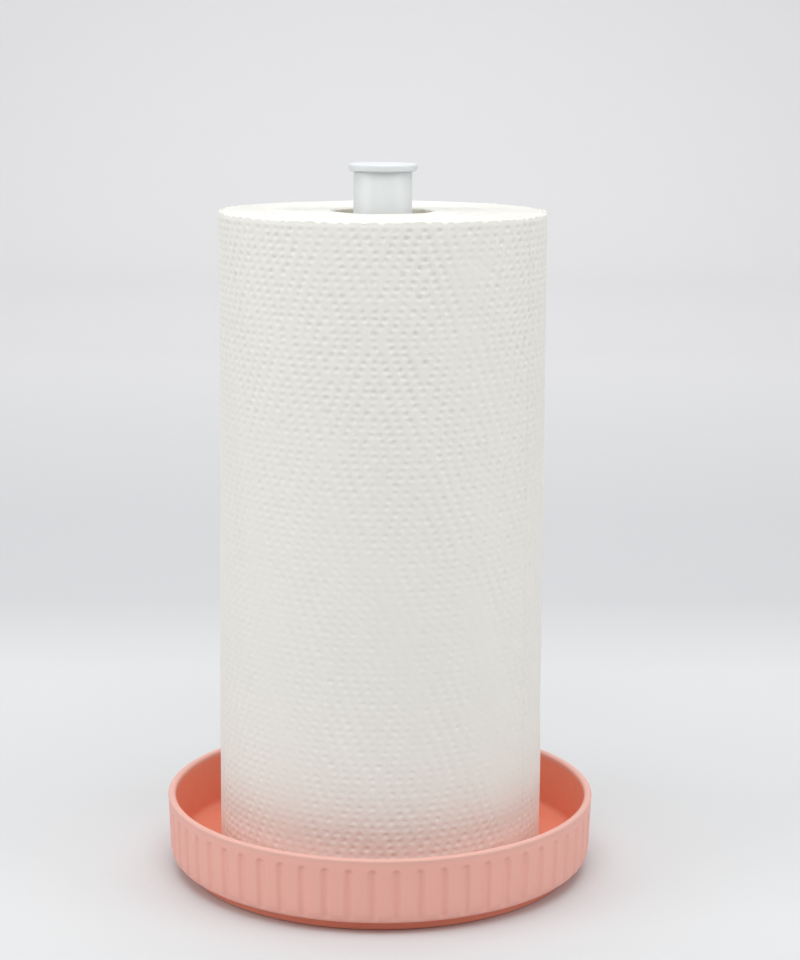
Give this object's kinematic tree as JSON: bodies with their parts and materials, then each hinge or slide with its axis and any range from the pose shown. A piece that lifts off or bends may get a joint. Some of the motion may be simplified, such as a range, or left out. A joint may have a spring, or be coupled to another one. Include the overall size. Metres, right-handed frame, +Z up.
{
  "type": "paper towel holder",
  "caption": "Upright paper towel holder: fluted round tray on a recessed foot, slim capped post, and a full embossed roll that turns and lifts off.",
  "frame": {"origin": "on the worktop plane, under the centre of the foot", "axes": "+Z up along the post; -Y is the front"},
  "size_m": [0.187, 0.187, 0.3077],
  "materials": {
    "pink_plastic": "satin moulded",
    "pad_rubber": "matt",
    "steel": "zinc plated",
    "inner_plastic": "satin",
    "white_post": "satin powder coat",
    "white_cap": "semi-gloss",
    "felt": "felted",
    "cardboard": "raw",
    "paper": "embossed tissue"
  },
  "bodies": {
    "stand": {"tray": "pink_plastic", "foot_pan": "pink_plastic", "pad_1": "pad_rubber", "pad_2": "pad_rubber", "pad_3": "pad_rubber", "pad_4": "pad_rubber", "pad_5": "pad_rubber", "pad_6": "pad_rubber", "foot_screw_1": "steel", "foot_screw_2": "steel", "foot_screw_3": "steel", "foot_screw_4": "steel", "ballast": "steel", "post_socket": "inner_plastic", "post_tube": "white_post", "post_insert": "inner_plastic", "post_cap": "white_cap", "centre_bolt": "steel", "bolt_washer": "steel", "hub_washer": "inner_plastic", "drag_washer": "felt", "hub_clip": "steel"},
    "hub": {"core_hub": "inner_plastic"},
    "roll": {"core_tube": "cardboard", "roll_paper": "paper", "sheet_a": "paper", "sheet_b": "paper", "sheet_c": "paper"}
  },
  "joints": [
    {"name": "hub_spin", "type": "hinge", "parent": "stand", "child": "hub", "pos_m": [0, 0, 0.02], "axis": [0, 0, 1], "continuous": true},
    {"name": "roll_lift", "type": "slide", "parent": "hub", "child": "roll", "axis": [0, 0, 1], "range_m": [0, 0.31]}
  ]
}
